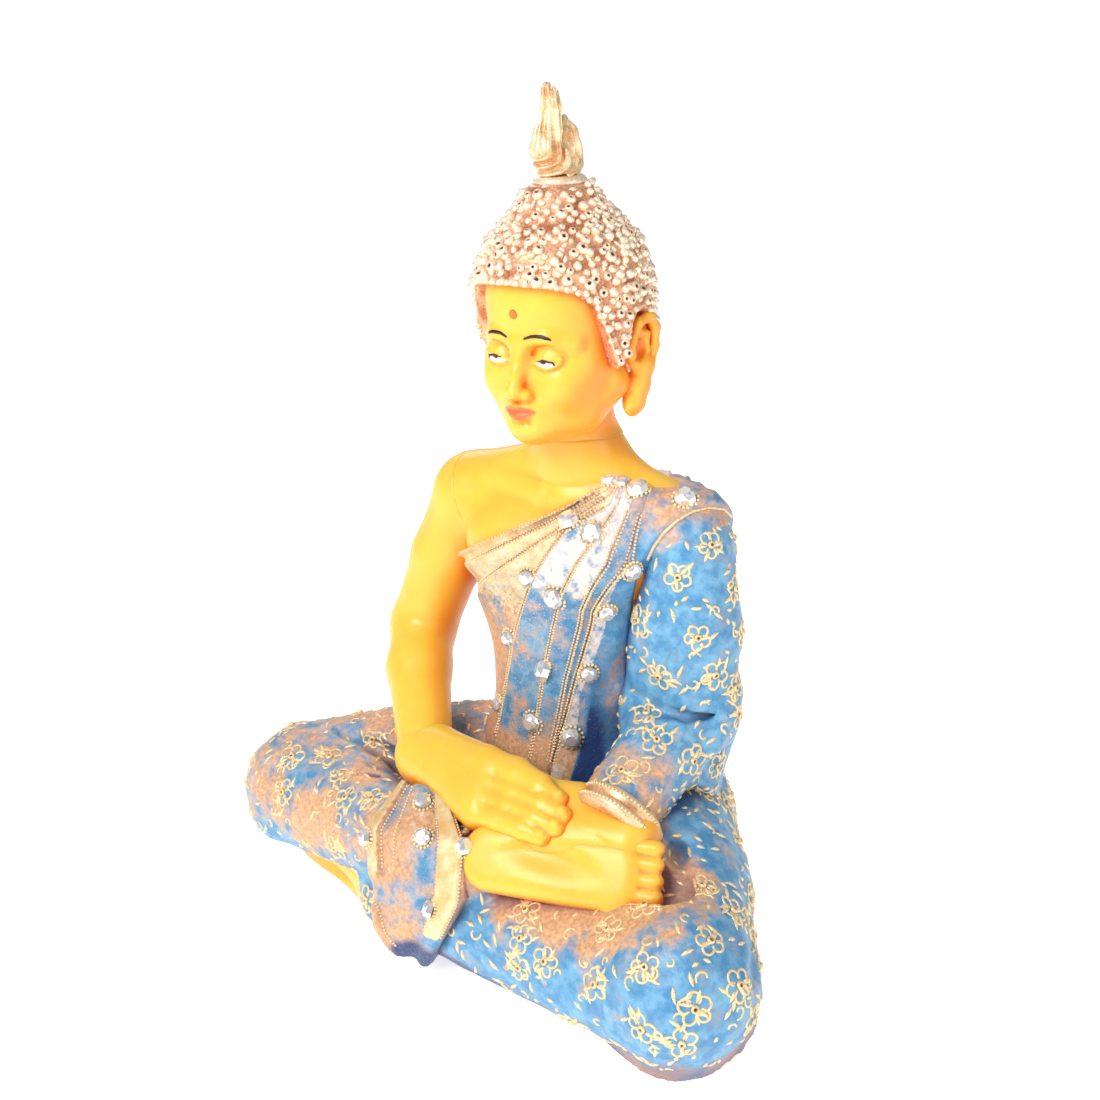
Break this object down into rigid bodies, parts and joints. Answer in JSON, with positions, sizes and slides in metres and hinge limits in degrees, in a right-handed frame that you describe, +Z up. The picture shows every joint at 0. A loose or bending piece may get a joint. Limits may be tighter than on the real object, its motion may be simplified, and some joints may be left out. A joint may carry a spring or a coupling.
{
  "type": "seated meditation statue",
  "caption": "Seated cross-legged meditation figurine in cast resin with a draped robe, tiered curls, flame finial and applied rhinestones.",
  "frame": {"origin": "on the floor under the middle of the body, in the plane of the felt's underside", "axes": "+Z up, the figure looks along -Y, +X is the figure's own left"},
  "size_m": [0.2035, 0.118, 0.25],
  "materials": {
    "skin_resin": "satin golden-yellow painted resin",
    "robe_paint": "blue paint with rubbed copper and gold wash",
    "hair_gilt": "rose-gold metallic paint on resin",
    "relief_gilt": "raised gold relief lines",
    "mark_paint": "orange-brown painted mark",
    "rhinestone": "clear faceted stone, foil back",
    "board": "raw fibreboard",
    "felt": "dark felt",
    "dowel_wood": "raw beech",
    "pin_brass": "plain brass"
  },
  "bodies": {
    "root": {"base_plate": "board", "chest_robe": "robe_paint", "felt_sheet": "felt", "flame_collar": "hair_gilt", "flame_finial": "hair_gilt", "flame_pin": "pin_brass", "forehead_mark": "mark_paint", "hair_cap": "hair_gilt", "hair_curls": "hair_gilt", "head_casting": "skin_resin", "lap_casting": "robe_paint", "lap_flowers": "relief_gilt", "large_rhinestones": "rhinestone", "left_arm_dowel": "dowel_wood", "left_foot": "skin_resin", "left_hand": "skin_resin", "left_sleeve": "robe_paint", "neck_dowel": "dowel_wood", "right_arm": "skin_resin", "right_arm_dowel": "dowel_wood", "right_foot": "skin_resin", "right_hand": "skin_resin", "robe_cords": "relief_gilt", "sash_end": "robe_paint", "sleeve_cuff": "relief_gilt", "sleeve_flowers": "relief_gilt", "small_rhinestones": "rhinestone", "torso_casting": "skin_resin"}
  },
  "joints": []
}
